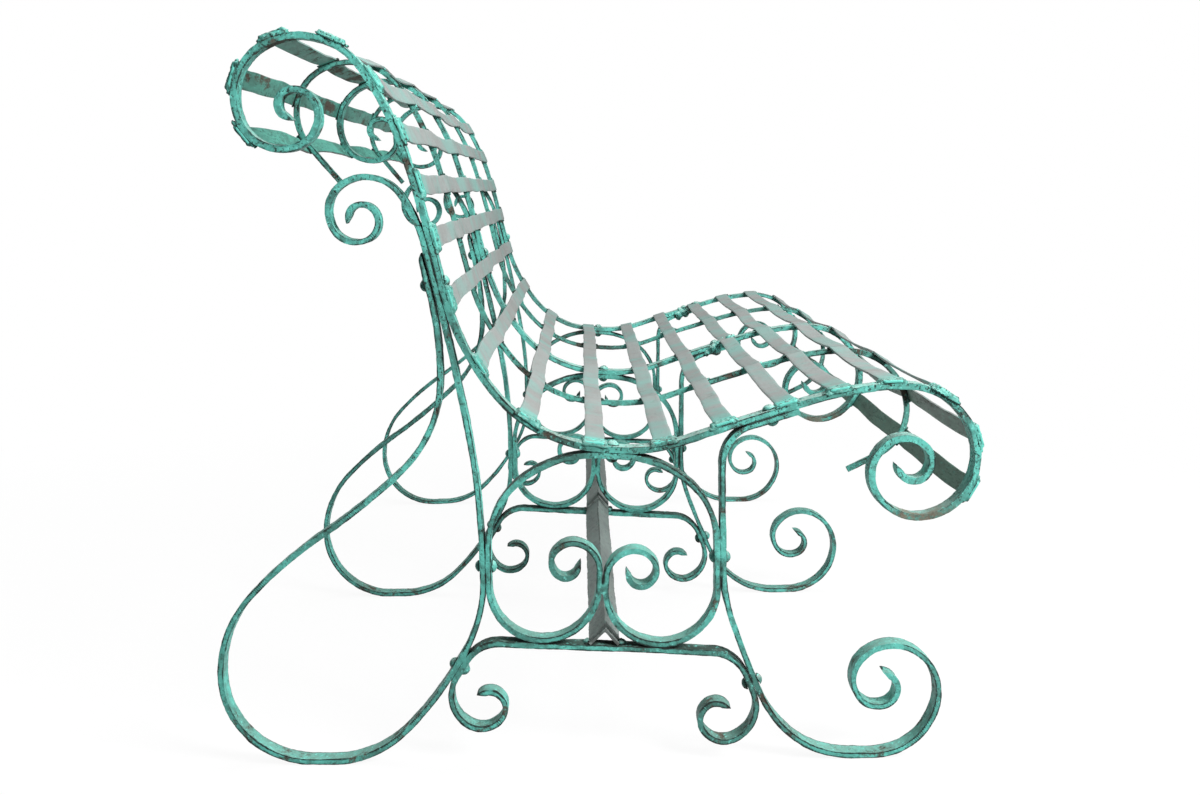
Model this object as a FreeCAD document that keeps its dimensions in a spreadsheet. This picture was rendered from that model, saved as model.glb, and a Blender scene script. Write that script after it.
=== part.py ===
import FreeCAD, Part
import cmath
import math
import os
from types import SimpleNamespace

import Sketcher
from FreeCAD import Placement, Rotation, Vector

# Garden bench of bent flat bar, in millimetres. X runs along the bench, the sitter faces -Y and
# Z is up, with the origin on the floor under the middle. Three scroll frames of one pattern stand
# across the bench, straps and two angle irons tie them together, and rivets hold the bars.

# Driving dimensions: name, value, meaning. Reaches are measured from the ring's axis.
DIMENSIONS = [
    ("bench_length", 1525.0, "over the outer faces of the end frames"),
    ("bar_width", 25.0, "width of every frame bar, along the bench"),
    ("rail_thick", 8.5, "thickness of the profile rails"),
    ("bar_thick", 7.5, "thickness of legs, rings and stretchers"),
    ("rod_side", 8.0, "square side of the two plain profile rods"),
    ("strap_width", 25.0, "width of a lengthwise strap"),
    ("strap_thick", 3.0, "thickness of a lengthwise strap"),
    ("strap_seat", 0.2, "weld gap under a strap"),
    ("angle_leg", 28.0, "outer leg of the angle iron"),
    ("angle_thick", 4.0, "thickness of the angle iron"),
    ("angle_reach", 6.0, "ridge of the angle iron before the ring's axis"),
    ("angle_overlap", 20.0, "reach of each angle iron past the middle"),
    ("rivet_head", 17.0, "diameter of a rivet head"),
    ("rivet_rise", 6.5, "height of a rivet head"),
    ("rivet_shank", 8.0, "diameter of a rivet shank"),
    ("rivet_play", 0.2, "clearance of a rivet hole on its diameter"),
    ("lap_half", 13.0, "flat run on each side of a rivet"),
    ("bar_gap", 1.0, "gap where a bar lies along itself"),
    ("tip_length", 9.0, "chisel cut at the free end of a bar"),
    ("stretcher_height", 151.5, "top of the lower stretcher at the ring's axis"),
    ("stretcher_fall", 3.4, "slope of the stretcher towards the front, degrees"),
    ("stretcher_rear", 123.0, "straight run behind the ring's axis"),
    ("stretcher_front", 143.0, "straight run before the ring's axis"),
    ("stretcher_bend", 48.0, "bend radius of the stretcher's shoulders"),
    ("stretcher_rear_turn", 62.0, "bend down to the rear leg, degrees"),
    ("stretcher_front_turn", 64.0, "bend down to the front leg, degrees"),
    ("stretcher_curl", 45.0, "first radius of the stretcher's end curls"),
    ("stretcher_eye", 18.0, "last radius of the stretcher's end curls"),
    ("stretcher_curl_turn", 350.0, "turn of the stretcher's end curls, degrees"),
    ("ring_width", 292.0, "over the outside of the ring"),
    ("ring_height", 244.5, "over the outside of the ring, square to the stretcher"),
    ("crown_reach", 4.0, "crown's rivet before the ring's axis"),
    ("ring_side_rear", 45.0, "straight side of the ring beside the rear leg"),
    ("ring_side_front", 62.0, "straight side of the ring beside the front leg"),
    ("ring_lap", 21.0, "ring's side rivets below the start of its arch"),
    ("cusp_rear", 21.0, "straight run of the rear lobe where the lobes meet"),
    ("cusp_front", 14.0, "straight run of the front lobe where the lobes meet"),
    ("ring_curl", 36.0, "first radius of the ring's inner curls"),
    ("ring_eye", 14.5, "last radius of the ring's inner curls"),
    ("ring_curl_turn", 380.0, "turn of the ring's inner curls, degrees"),
    ("back_rivet_reach", 188.0, "rail at the back rivet, behind the ring's axis"),
    ("back_rivet_height", 607.0, "height of the back rivet"),
    ("back_lean", 13.2, "lean of the back at the back rivet, degrees"),
    ("back_lap", 42.0, "flat run above the back rivet"),
    ("shoulder_reach", 275.0, "start of the back curl, behind the ring's axis"),
    ("shoulder_height", 858.0, "height of the start of the back curl"),
    ("shoulder_lean", 34.0, "lean at the start of the back curl, degrees"),
    ("back_curl", 88.0, "first radius of the back curl"),
    ("back_eye", 13.0, "last radius of the back curl"),
    ("back_curl_turn", 612.0, "turn of the back curl, degrees"),
    ("seat_rise", 17.0, "rise of the seat towards the front, degrees"),
    ("front_lap", 34.0, "flat run of the front leg before its rivet"),
    ("front_lap_rear", 27.0, "flat run of the front leg behind its rivet"),
    ("crest_reach", 375.0, "crest of the seat's front roll"),
    ("crest_height", 475.0, "height of the crest's centreline"),
    ("front_curl", 92.0, "first radius of the front curl"),
    ("front_eye", 17.0, "last radius of the front curl"),
    ("front_curl_turn", 640.0, "turn of the front curl, degrees"),
    ("front_leg_height", 417.0, "corner of the front leg under the seat"),
    ("elbow_radius", 50.0, "bend of that corner"),
    ("front_foot_reach", 332.0, "middle of the front foot"),
    ("foot_flat", 28.0, "flat run of a foot on the floor"),
    ("foot_curl", 82.0, "first radius of the front foot's scroll"),
    ("foot_eye", 18.0, "last radius of the front foot's scroll"),
    ("foot_curl_turn", 545.0, "turn of the front foot's scroll, degrees"),
    ("rear_foot_reach", 349.0, "middle of the rear foot, behind the ring's axis"),
    ("loop_radius", 110.0, "bend at the back of the floor loop"),
    ("loop_run_reach", 344.0, "straight return of the loop, behind the ring's axis"),
    ("loop_run_height", 293.0, "height of that return"),
    ("loop_run_rise", 34.0, "rise of that return, degrees"),
    ("loop_neck_reach", 191.0, "loop where it turns upright, behind the ring's axis"),
    ("loop_neck_height", 490.0, "height of that neck"),
    ("leg_lead_radius", 200.0, "gentle bend below the rear leg's scroll"),
    ("leg_lead_turn", 19.5, "turn of that bend, degrees"),
    ("leg_curl", 51.0, "first radius of the rear leg's scroll"),
    ("leg_eye", 15.5, "last radius of the rear leg's scroll"),
    ("leg_curl_turn", 530.0, "turn of the rear leg's scroll, degrees"),
    ("strap_margin", 1.5, "room between a strap and a rivet head"),
    ("strap_back_first", 53.0, "first strap above the back rivet"),
    ("strap_back_pitch", 66.0, "pitch of the straps above the back rivet"),
    ("strap_ring_first", 64.0, "first strap before the ring's rivet"),
    ("strap_ring_pitch", 78.0, "pitch of the straps before the ring's rivet"),
    ("strap_front_pitch", 65.0, "pitch of the straps before the front rivet"),
    ("rod_back_turn", 186.0, "turn of a rod's back end, degrees"),
    ("rod_front_turn", 154.0, "turn of a rod's front end, degrees"),
    ("rod_back_tail", 70.0, "straight tail at a rod's back end"),
    ("rod_front_tail", 52.0, "straight tail at a rod's front end"),
]

# Straps in each stretch of the profile, from the back curl to the front curl.
STRAP_COUNTS = {"above back rivet": 8, "back to ring": 4, "ring to front": 2, "past front rivet": 6}

# Frames stand at both ends and in the middle, rods halfway between: name and side of the middle.
FRAMES = [("near", -1), ("middle", 0), ("far", 1)]
RODS = [("near", -0.5), ("far", 0.5)]

# A scroll's radius falls from first to last by this power of the turn that is left.
SCROLL_EASE = 1.6
QUARTER = 90.0
HALF_TURN = 180.0
# Points checked across a strap's width to seat it on a hollow stretch of the rail.
SEAT_SAMPLES = 9
# Turns and slopes smaller than this count as none.
NEXT_TO_NOTHING = 1e-9


def unit(degrees):
    """Direction in a frame's plane; 0 points to the front and 90 up."""
    return cmath.rect(1.0, math.radians(degrees))


def dot(first, second):
    return (first * second.conjugate()).real


class Path:
    """Centreline of a bent bar: straight and round runs that follow each other smoothly.

    A point or direction in the frame's plane is a complex number, front and up. A run is its
    start, direction, length and turn in radians, where a turn to the left is positive.
    """

    def __init__(self, point, heading):
        self.point = point
        self.heading = heading
        self.runs = []

    def run(self, length, turn):
        self.runs.append((self.point, self.heading, length, turn))
        self.point, self.heading = travel(self.runs[-1], length)
        return self

    def straight(self, length):
        return self.run(length, 0.0)

    def bend(self, radius, degrees):
        turn = math.radians(degrees)
        return self.run(radius * abs(turn), turn)

    def scroll(self, first, last, degrees):
        """Equal turns whose radius draws in from first to last."""
        steps = math.ceil(abs(degrees) / QUARTER)
        for k in range(steps):
            radius = last + (first - last) * (1.0 - k / (steps - 1)) ** SCROLL_EASE
            self.bend(radius, degrees / steps)
        return self

    def arc_to(self, point):
        chord = point - self.point
        turn = 2.0 * cmath.phase(chord / self.heading)
        if abs(turn) < NEXT_TO_NOTHING:
            return self.straight(abs(chord))
        return self.run(turn * abs(chord) / (2.0 * math.sin(turn / 2.0)), turn)

    def reach(self, point, heading):
        """Two arcs with tangents of one length, to a point and direction."""
        chord = point - self.point
        square = 2.0 * (dot(self.heading, heading) - 1.0)
        linear = -2.0 * dot(chord, self.heading + heading)
        constant = dot(chord, chord)
        if abs(square) < NEXT_TO_NOTHING:
            tangent = -constant / linear
        else:
            tangent = (-linear - math.sqrt(linear ** 2 - 4.0 * square * constant)) / (2.0 * square)
        middle = (self.point + tangent * self.heading + point - tangent * heading) / 2.0
        return self.arc_to(middle).arc_to(point)

    def length(self):
        return sum(run[2] for run in self.runs)

    def at(self, distance):
        """Point and direction at a distance along the path."""
        for run in self.runs[:-1]:
            if distance <= run[2]:
                return travel(run, distance)
            distance -= run[2]
        return travel(self.runs[-1], distance)

    def backwards(self):
        start = Path(self.point, -self.heading)
        for run in reversed(self.runs):
            start.run(run[2], -run[3])
        return start

    def then(self, other):
        for run in other.runs:
            self.run(run[2], run[3])
        return self


def travel(run, distance):
    start, heading, length, turn = run
    if turn == 0.0:
        return start + heading * distance, heading
    centre = start + 1j * heading * length / turn
    swing = cmath.exp(1j * turn * distance / length)
    return centre + (start - centre) * swing, heading * swing


def in_sketch(point):
    """The sketch plane looks along the bench, so the front is on its negative side."""
    return Vector(-point.real, point.imag, 0)


def in_bench(point):
    return Vector(0, -point.real, point.imag)


def side_edge(run, begin, end, offset):
    """Edge of the bar's outline beside one run, from begin to end of its length."""
    spots = []
    for distance in (begin, (begin + end) / 2.0, end):
        point, heading = travel(run, distance)
        spots.append(in_sketch(point + 1j * heading * offset))
    if run[3] == 0.0:
        return Part.LineSegment(spots[0], spots[2])
    return Part.Arc(*spots)


def outline(path, left, right, tips):
    """Closed outline of a bar: both sides of its path, with the named corners cut back."""
    last = len(path.runs) - 1
    sides = {}
    for side, offset in (("left", left), ("right", right)):
        sides[side] = []
        for index, run in enumerate(path.runs):
            begin = size.tip_length if index == 0 and (side, "start") in tips else 0.0
            end = run[2] - (size.tip_length if index == last and (side, "end") in tips else 0.0)
            sides[side].append(side_edge(run, begin, end, offset))
    ends = []
    for place, pick in (("start", 0), ("end", -1)):
        corners = []
        for side in ("left", "right"):
            edge = sides[side][pick]
            corners.append(edge.StartPoint if place == "start" else edge.EndPoint)
        ends.append(Part.LineSegment(*corners))
    return sides["left"] + sides["right"] + ends


doc = FreeCAD.newDocument("garden_bench")
sheet = doc.addObject("Spreadsheet::Sheet", "Sizes")
for row, (alias, value, meaning) in enumerate(DIMENSIONS, start=1):
    sheet.set("A%d" % row, alias)
    sheet.set("B%d" % row, str(value))
    sheet.setAlias("B%d" % row, alias)
    sheet.set("C%d" % row, meaning)
doc.recompute()
size = SimpleNamespace(**{alias: float(sheet.get(alias)) for alias, value, meaning in DIMENSIONS})

FRAME_PITCH = "(Sizes.bench_length - Sizes.bar_width) / 2"
pieces = []


def new_body(label, along=None):
    """Body for one piece, placed along the bench by a share of the frames' pitch."""
    body = doc.addObject("PartDesign::Body", label)
    body.Label = label
    if along is not None:
        body.setExpression("Placement.Base.x", "%s * %s" % (along, FRAME_PITCH))
    pieces.append(body)
    return body


def new_sketch(body, plane):
    sketch = body.newObject("Sketcher::SketchObject", "Sketch")
    support = next(f for f in body.Origin.OriginFeatures if f.Role == plane)
    sketch.AttachmentSupport = [(support, "")]
    sketch.MapMode = "FlatFace"
    return sketch


def closed_polygon(sketch, corners):
    """Lines round the corners, joined end to end, each level or upright."""
    count = len(corners)
    for k in range(count):
        sketch.addGeometry(Part.LineSegment(corners[k], corners[(k + 1) % count]), False)
    for k in range(count):
        sketch.addConstraint(Sketcher.Constraint("Coincident", k, 2, (k + 1) % count, 1))
        level = corners[k].y == corners[(k + 1) % count].y
        sketch.addConstraint(Sketcher.Constraint("Horizontal" if level else "Vertical", k))


def bind(sketch, constraint, expression):
    sketch.setExpression("Constraints[%d]" % sketch.addConstraint(constraint), expression)


def padded(body, sketch, length):
    """Pad to both sides of the sketch, with its length bound to the sheet."""
    pad = body.newObject("PartDesign::Pad", "Pad")
    pad.Profile = sketch
    pad.Midplane = True
    pad.setExpression("Length", length)
    sketch.Visibility = False
    return pad


def bar(label, along, path, left, right, width, tips, holes):
    """One bent bar with its rivet holes; a hole is a point and direction through the bar."""
    body = new_body(label, along)
    sketch = new_sketch(body, "YZ_Plane")
    sketch.addGeometry(outline(path, left, right, tips), False)
    padded(body, sketch, width)
    for rivet in holes:
        doc.recompute()
        hole = body.newObject("PartDesign::SubtractiveCylinder", "RivetHole")
        hole.setExpression("Radius", "(Sizes.rivet_shank + Sizes.rivet_play) / 2")
        hole.setExpression("Height", "%s + 2 * Sizes.rivet_rise" % rivet.grip)
        start = rivet.middle - rivet.axis * (rivet.length / 2.0 + size.rivet_rise)
        hole.Placement = Placement(in_bench(start), Rotation(Vector(0, 0, 1), in_bench(rivet.axis)))
    return body


# Lower stretcher and ring share a plane that falls a little to the front.
forward = unit(-size.stretcher_fall)
upward = 1j * forward
half_bar = size.bar_thick / 2.0
half_rail = size.rail_thick / 2.0
ring_base = complex(0.0, size.stretcher_height)


def stretcher_end(direction, run, turn):
    """Half of the lower stretcher, to its rivet, and the curl that follows."""
    path = Path(ring_base - upward * half_bar, direction)
    path.straight(run).bend(size.stretcher_bend, turn).straight(size.lap_half)
    rivet = (path.point, path.heading)
    path.straight(size.lap_half)
    path.scroll(size.stretcher_curl, size.stretcher_eye, math.copysign(size.stretcher_curl_turn, turn))
    return path, rivet


stretcher_rear, rear_tie = stretcher_end(-forward, size.stretcher_rear, size.stretcher_rear_turn)
stretcher_front, front_tie = stretcher_end(forward, size.stretcher_front, -size.stretcher_front_turn)
stretcher_path = stretcher_rear.backwards().then(stretcher_front)

# Ring: two lobes side by side on the stretcher, upright sides, and an arch with a flat crown.
ring_radius = size.ring_width / 2.0 - half_bar
cusp_offset = half_bar + size.bar_gap / 2.0
lobe_radius = (ring_radius - cusp_offset) / 2.0
crown = ring_base + upward * (size.ring_height - half_bar) + forward * size.crown_reach


def ring_half(side, cusp_run, side_run):
    """From the tip of one inner curl round its lobe to the crown; side is 1 for the front."""
    cusp = ring_base + upward * (half_bar + lobe_radius) + side * forward * cusp_offset
    curl = Path(cusp, upward).straight(cusp_run)
    curl.scroll(size.ring_curl, size.ring_eye, -side * size.ring_curl_turn)
    lobe = Path(cusp, -upward).bend(lobe_radius, side * HALF_TURN + size.stretcher_fall).straight(side_run)
    rivet = lobe.point - 1j * size.ring_lap
    lobe.reach(crown + side * forward * size.lap_half, -side * forward).straight(size.lap_half)
    return curl.backwards().then(lobe), rivet


front_half, ring_front = ring_half(1, size.cusp_front, size.ring_side_front)
rear_half, ring_rear = ring_half(-1, size.cusp_rear, size.ring_side_rear)
ring_path = front_half.then(rear_half.backwards())

# Front leg: hangs under the seat rail, bends down along the ring and ends in the foot's scroll.
rise = unit(size.seat_rise)
leg_beside_front = ring_front + size.bar_thick
corner = complex(leg_beside_front.real, size.front_leg_height)
elbow_turn = math.degrees(cmath.phase(1j / rise))
elbow_tangent = size.elbow_radius * math.tan(math.radians(elbow_turn) / 2.0)
leg_top_rivet = corner + rise * (elbow_tangent + size.front_lap_rear)
leg_top = leg_top_rivet + rise * size.front_lap
front_rivet = leg_top_rivet + 1j * rise * (half_rail + half_bar)
front_tie_leg = front_tie[0] + 1j * front_tie[1] * size.bar_thick

front_leg_path = Path(leg_top, -rise).straight(size.front_lap + size.front_lap_rear)
front_leg_path.bend(size.elbow_radius, elbow_turn)
front_leg_path.straight(front_leg_path.point.imag - leg_beside_front.imag + size.lap_half)
front_leg_path.reach(front_tie_leg - front_tie[1] * size.lap_half, front_tie[1])
front_leg_path.straight(2.0 * size.lap_half)
front_leg_path.reach(complex(size.front_foot_reach - size.foot_flat / 2.0, half_bar), unit(0.0))
front_leg_path.straight(size.foot_flat).scroll(size.foot_curl, size.foot_eye, size.foot_curl_turn)

# Profile rail: from the ring's crown back to the back rivet and curl, and forward to the front curl.
lean = unit(QUARTER + size.back_lean)
backward = 1j * lean
rail_crown = crown + upward * (half_bar + half_rail)
back_rivet = complex(-size.back_rivet_reach, size.back_rivet_height)
shoulder = complex(-size.shoulder_reach, size.shoulder_height)
crest = complex(size.crest_reach, size.crest_height)

rail_back = Path(rail_crown, -forward).straight(size.lap_half)
rail_back.reach(back_rivet - lean * size.lap_half, lean).straight(size.lap_half)
crown_to_back_rivet = rail_back.length()
rail_back.straight(size.back_lap).reach(shoulder, unit(QUARTER + size.shoulder_lean))
rail_front = Path(rail_crown, forward).straight(size.lap_half)
rail_front.reach(front_rivet - rise * size.front_lap_rear, rise).straight(size.front_lap_rear)
crown_to_front_rivet = rail_front.length()
rail_front.straight(size.front_lap).reach(crest, unit(0.0))


def profile(back_end, front_end):
    """The bench's side profile from back to front, between two ends."""
    return back_end.backwards().then(rail_back.backwards()).then(rail_front).then(front_end)


back_curl = Path(rail_back.point, rail_back.heading)
back_curl.scroll(size.back_curl, size.back_eye, size.back_curl_turn)
front_curl = Path(rail_front.point, rail_front.heading)
front_curl.scroll(size.front_curl, size.front_eye, -size.front_curl_turn)
rail_path = profile(back_curl, front_curl)


def rod_end(curl, turn, tail):
    """A rod follows the rail's curl for part of its turn and goes on straight."""
    path = Path(curl.runs[0][0], curl.runs[0][1])
    left = math.radians(turn)
    for start, heading, length, swing in curl.runs:
        share = min(1.0, left / abs(swing))
        path.run(length * share, swing * share)
        left -= abs(swing)
        if left <= 0.0:
            break
    return path.straight(tail)


rod_back = rod_end(back_curl, size.rod_back_turn, size.rod_back_tail)
rod_front = rod_end(front_curl, size.rod_front_turn, size.rod_front_tail)
rod_path = profile(rod_back, rod_front)

# Rear leg: scroll behind the back, leg past ring and stretcher, floor loop, and return to the back.
leg_back_rivet = back_rivet + backward * (half_rail + half_bar)
end_back_rivet = leg_back_rivet + backward * (size.bar_thick + size.bar_gap)
rear_tie_leg = rear_tie[0] - 1j * rear_tie[1] * size.bar_thick
leg_beside_rear = ring_rear - size.bar_thick

leg_scroll = Path(leg_back_rivet, lean).straight(size.back_lap)
leg_scroll.bend(size.leg_lead_radius, size.leg_lead_turn)
leg_scroll.scroll(size.leg_curl, size.leg_eye, size.leg_curl_turn)
leg_run = Path(leg_back_rivet, -lean).straight(size.lap_half)
leg_run.reach(leg_beside_rear + 1j * size.ring_lap, -1j).straight(2.0 * size.ring_lap)
leg_run.reach(rear_tie_leg - rear_tie[1] * size.lap_half, rear_tie[1]).straight(2.0 * size.lap_half)
leg_run.reach(complex(size.foot_flat / 2.0 - size.rear_foot_reach, half_bar), unit(HALF_TURN))
leg_run.straight(size.foot_flat).bend(size.loop_radius, -QUARTER)
leg_run.reach(complex(-size.loop_run_reach, size.loop_run_height), unit(size.loop_run_rise))
leg_run.reach(complex(-size.loop_neck_reach, size.loop_neck_height), 1j)
leg_run.reach(end_back_rivet - lean * size.lap_half, lean)
leg_run.straight(size.lap_half + size.back_lap)
rear_leg_path = leg_scroll.backwards().then(leg_run)


class Rivet:
    """Where a rivet sits: middle of its grip, direction through the bars, and the bars it holds."""

    def __init__(self, middle, axis, grip, length):
        self.middle = middle
        self.axis = axis
        self.grip = grip
        self.length = length


TWO_BARS = ("2 * Sizes.bar_thick", 2.0 * size.bar_thick)
RAIL_AND_BAR = ("Sizes.rail_thick + Sizes.bar_thick", size.rail_thick + size.bar_thick)
RAIL_AND_TWO_BARS = (
    "Sizes.rail_thick + 2 * Sizes.bar_thick + Sizes.bar_gap",
    size.rail_thick + 2.0 * size.bar_thick + size.bar_gap,
)
under_rail = RAIL_AND_BAR[1] / 2.0 - half_rail
behind_rail = RAIL_AND_TWO_BARS[1] / 2.0 - half_rail
RIVETS = {
    "back": Rivet(back_rivet + backward * behind_rail, backward, *RAIL_AND_TWO_BARS),
    "ring_rear": Rivet(ring_rear - half_bar, unit(0.0), *TWO_BARS),
    "ring_front": Rivet(ring_front + half_bar, unit(0.0), *TWO_BARS),
    "stretcher_rear": Rivet((rear_tie[0] + rear_tie_leg) / 2.0, 1j * rear_tie[1], *TWO_BARS),
    "stretcher_front": Rivet((front_tie[0] + front_tie_leg) / 2.0, 1j * front_tie[1], *TWO_BARS),
    "seat_front": Rivet(front_rivet - 1j * rise * under_rail, 1j * rise, *RAIL_AND_BAR),
    "seat_ring": Rivet(rail_crown - upward * under_rail, upward, *RAIL_AND_BAR),
}

# The bars of one frame: name, path, half thickness, chisel-cut corners and rivets. A free end is
# cut on the inside of its curl; the rear leg's plain end is cut on its back.
FRAME_BARS = [
    ("profile_rail", rail_path, half_rail, [("right", "start"), ("right", "end")],
     ["back", "seat_front", "seat_ring"]),
    ("rear_leg", rear_leg_path, half_bar, [("right", "start"), ("left", "end")],
     ["back", "ring_rear", "stretcher_rear"]),
    ("front_leg", front_leg_path, half_bar, [("left", "end")],
     ["seat_front", "ring_front", "stretcher_front"]),
    ("ring_scroll", ring_path, half_bar, [("left", "start"), ("left", "end")],
     ["ring_rear", "ring_front", "seat_ring"]),
    ("lower_stretcher", stretcher_path, half_bar, [("right", "start"), ("right", "end")],
     ["stretcher_rear", "stretcher_front"]),
]
for place, along in FRAMES:
    for name, path, half, tips, names in FRAME_BARS:
        bores = [RIVETS[rivet] for rivet in names]
        bar("%s_%s" % (name, place), along, path, half, -half, "Sizes.bar_width", tips, bores)

# The rods' outer faces are flush with the rails', so that the straps lie on both.
for place, along in RODS:
    bar("profile_rod_%s" % place, along, rod_path, half_rail, half_rail - size.rod_side,
        "Sizes.rod_side", [], [])


# Straps lie flat on the outside of the profile, between the rivet heads and round both curls.
crown_at = back_curl.length() + rail_back.length()
back_rivet_at = crown_at - crown_to_back_rivet
front_rivet_at = crown_at + crown_to_front_rivet
beside_rivet = (size.strap_width + size.rivet_head) / 2.0 + size.strap_margin


def spread(first, last, count):
    """Evenly spaced places from first to last."""
    return [first + (last - first) * k / (count - 1) for k in range(count)]


above_back_rivet = back_rivet_at - size.strap_back_first
past_front_rivet = front_rivet_at + beside_rivet
strap_places = spread(
    above_back_rivet - size.strap_back_pitch * (STRAP_COUNTS["above back rivet"] - 1),
    above_back_rivet,
    STRAP_COUNTS["above back rivet"],
)
strap_places += spread(back_rivet_at + beside_rivet, crown_at - beside_rivet, STRAP_COUNTS["back to ring"])
before_ring = crown_at + size.strap_ring_first
strap_places += spread(
    before_ring,
    before_ring + size.strap_ring_pitch * (STRAP_COUNTS["ring to front"] - 1),
    STRAP_COUNTS["ring to front"],
)
strap_places += spread(
    past_front_rivet,
    past_front_rivet + size.strap_front_pitch * (STRAP_COUNTS["past front rivet"] - 1),
    STRAP_COUNTS["past front rivet"],
)


def strap_seat(place):
    """Point under the middle of a strap and the direction out of the profile."""
    point, heading = rail_path.at(place)
    normal = 1j * heading
    seat = point + normal * half_rail
    lift = 0.0
    half_width = size.strap_width / 2.0
    for beside in spread(-half_width, half_width, SEAT_SAMPLES):
        near_point, near_heading = rail_path.at(place + beside)
        lift = max(lift, dot(near_point + 1j * near_heading * half_rail - seat, normal))
    return seat + normal * (lift + size.strap_seat), normal


def strap(label, place):
    seat, normal = strap_seat(place)
    body = new_body(label)
    sketch = new_sketch(body, "YZ_Plane")
    half_width = size.strap_width / 2.0
    corners = [Vector(-half_width, 0, 0), Vector(half_width, 0, 0)]
    corners += [Vector(half_width, size.strap_thick, 0), Vector(-half_width, size.strap_thick, 0)]
    closed_polygon(sketch, corners)
    sketch.addConstraint(Sketcher.Constraint("Symmetric", 0, 1, 0, 2, -1, 1))
    bind(sketch, Sketcher.Constraint("DistanceX", 0, 1, 0, 2, size.strap_width), "Sizes.strap_width")
    bind(sketch, Sketcher.Constraint("DistanceY", 1, 1, 1, 2, size.strap_thick), "Sizes.strap_thick")
    padded(body, sketch, "Sizes.bench_length")
    tilt = math.degrees(math.atan2(normal.real, normal.imag))
    body.Placement = Placement(in_bench(seat), Rotation(Vector(1, 0, 0), tilt))


for number, place in enumerate(strap_places, start=1):
    strap("strap_%02d" % number, place)

# Angle irons lie roof up on the stretchers. The far one rests on the near one's end at the middle
# frame and comes down to the far stretcher, so it is tilted by the thickness it climbs.
ROOF_TURN = -135.0
angle_rise = (size.angle_leg + size.angle_thick) / math.sqrt(2.0)
angle_step = size.angle_thick * math.sqrt(2.0)
angle_tilt = math.degrees(math.atan2(angle_step, size.bench_length / 2.0 - size.angle_overlap))
angle_apex = ring_base + upward * angle_rise + forward * size.angle_reach


def angle_iron(label, end, tilt, reverse):
    """Angle iron from one end of the bench to past the middle."""
    body = new_body(label)
    sketch = new_sketch(body, "YZ_Plane")
    leg, thick = size.angle_leg, size.angle_thick
    corners = [(0, 0), (leg, 0), (leg, thick), (thick, thick), (thick, leg), (0, leg)]
    closed_polygon(sketch, [Vector(x, y, 0) for x, y in corners])
    sketch.addConstraint(Sketcher.Constraint("Coincident", 0, 1, -1, 1))
    bind(sketch, Sketcher.Constraint("DistanceX", 0, 1, 0, 2, leg), "Sizes.angle_leg")
    bind(sketch, Sketcher.Constraint("DistanceY", 5, 2, 5, 1, leg), "Sizes.angle_leg")
    bind(sketch, Sketcher.Constraint("DistanceY", 1, 1, 1, 2, thick), "Sizes.angle_thick")
    bind(sketch, Sketcher.Constraint("DistanceX", 4, 2, 4, 1, thick), "Sizes.angle_thick")
    pad = body.newObject("PartDesign::Pad", "Pad")
    pad.Profile = sketch
    pad.Reversed = reverse
    pad.setExpression("Length", "Sizes.bench_length / 2 + Sizes.angle_overlap")
    roll = Rotation(Vector(1, 0, 0), ROOF_TURN + size.stretcher_fall)
    climb = Rotation(in_bench(-forward), tilt)
    body.Placement = Placement(Vector(end, 0, 0) + in_bench(angle_apex), climb * roll)


angle_iron("angle_iron_near", -size.bench_length / 2.0, 0.0, False)
angle_iron("angle_iron_far", size.bench_length / 2.0, angle_tilt, True)


def rivet_group(label, rivet):
    """One rivet with two domed heads, repeated at the three frames."""
    body = new_body(label, -1)
    sketch = new_sketch(body, "XY_Plane")
    shank, head = size.rivet_shank / 2.0, size.rivet_head / 2.0
    grip, top = rivet.length / 2.0, rivet.length / 2.0 + size.rivet_rise
    dome = (head ** 2 + size.rivet_rise ** 2) / (2.0 * size.rivet_rise)
    middle = math.asin(head / dome) / 2.0
    swell = dome * math.sin(middle), top - dome * (1.0 - math.cos(middle))
    spots = [(0, -top), (0, top), (head, grip), (shank, grip), (shank, -grip), (head, -grip)]
    spots = [Vector(x, y, 0) for x, y in spots]
    sketch.addGeometry(Part.LineSegment(spots[0], spots[1]), False)
    sketch.addGeometry(Part.Arc(spots[1], Vector(swell[0], swell[1], 0), spots[2]), False)
    for k in (2, 3, 4):
        sketch.addGeometry(Part.LineSegment(spots[k], spots[k + 1]), False)
    sketch.addGeometry(Part.Arc(spots[5], Vector(swell[0], -swell[1], 0), spots[0]), False)
    turned = body.newObject("PartDesign::Revolution", "Revolution")
    turned.Profile = sketch
    turned.ReferenceAxis = (sketch, ["V_Axis"])
    turned.Angle = 2.0 * HALF_TURN
    doc.recompute()
    repeat = body.newObject("PartDesign::LinearPattern", "AlongBench")
    repeat.Originals = [turned]
    axis = next(f for f in body.Origin.OriginFeatures if f.Role == "X_Axis")
    repeat.Direction = (axis, [""])
    repeat.setExpression("Length", "2 * %s" % FRAME_PITCH)
    repeat.Occurrences = len(FRAMES)
    body.Tip = repeat
    turn = math.degrees(math.atan2(rivet.axis.imag, -rivet.axis.real))
    body.Placement = Placement(in_bench(rivet.middle), Rotation(Vector(1, 0, 0), turn))


for name, rivet in RIVETS.items():
    rivet_group("rivets_%s" % name, rivet)

# The bench is moved so that its middle from front to back is over the origin.
doc.recompute()
footprint = FreeCAD.BoundBox()
for piece in pieces:
    footprint.add(piece.Shape.BoundBox)
for piece in pieces:
    moved = piece.Placement
    moved.Base = moved.Base - Vector(0, footprint.Center.y, 0)
    piece.Placement = moved
doc.recompute()

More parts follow.
